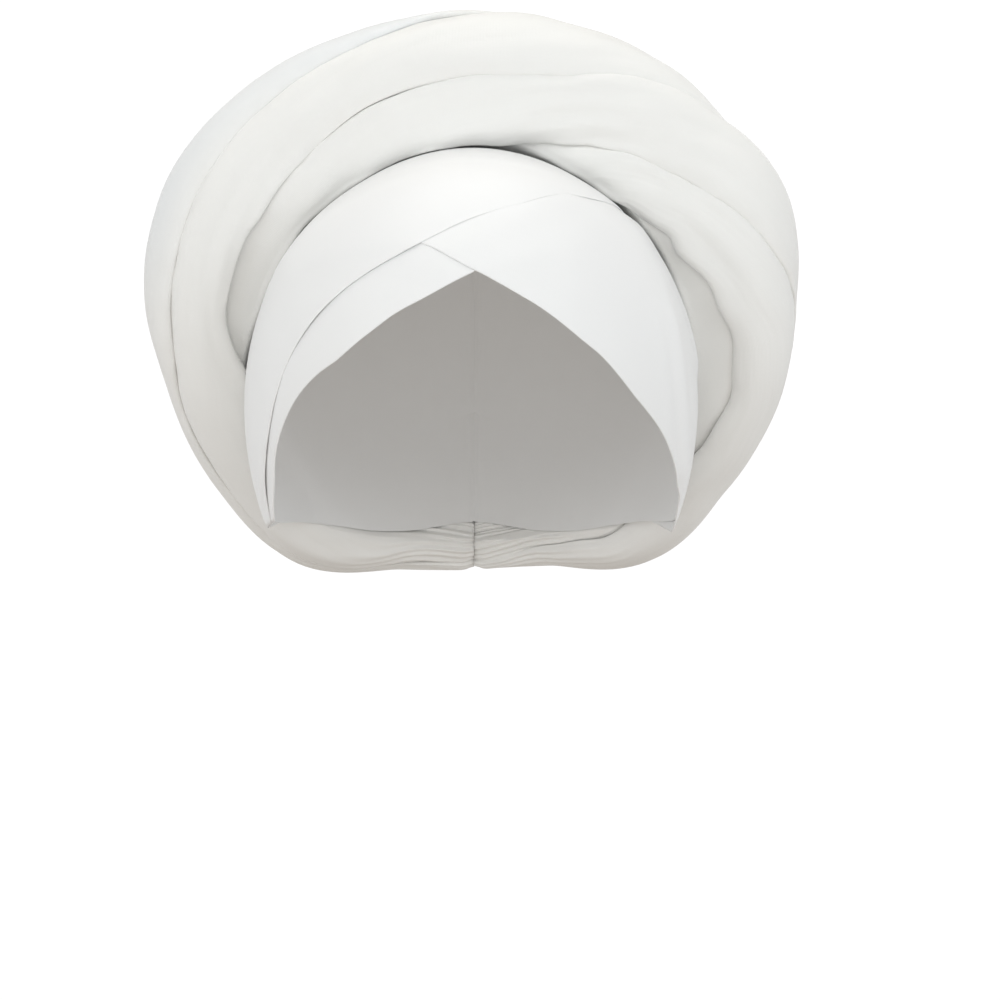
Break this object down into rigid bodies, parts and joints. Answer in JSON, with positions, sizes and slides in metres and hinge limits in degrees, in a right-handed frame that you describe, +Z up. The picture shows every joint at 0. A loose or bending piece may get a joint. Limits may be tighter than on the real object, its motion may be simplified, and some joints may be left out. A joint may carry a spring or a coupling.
{
  "type": "twisted turban",
  "caption": "Ready-made turban: a smooth cap with crossed forehead bands and a padded, twisted ring behind it that tapers to the nape.",
  "frame": {"origin": "inside of the top of the crown, where the cap rests on the head", "axes": "+Z up, -Y out of the face opening, +X to the wearer's left"},
  "size_m": [0.2576, 0.1909, 0.2207],
  "materials": {
    "cap_crepe": "matte satin crepe",
    "band_crepe": "smooth satin crepe",
    "ring_organza": "soft organza over wadding"
  },
  "bodies": {
    "root": {"cap": "cap_crepe", "under_band": "band_crepe", "over_band": "band_crepe", "top_band": "band_crepe", "outer_strand": "ring_organza", "crest_strand": "ring_organza", "front_strand": "ring_organza", "side_strand": "ring_organza", "inner_strand": "ring_organza"}
  },
  "joints": []
}
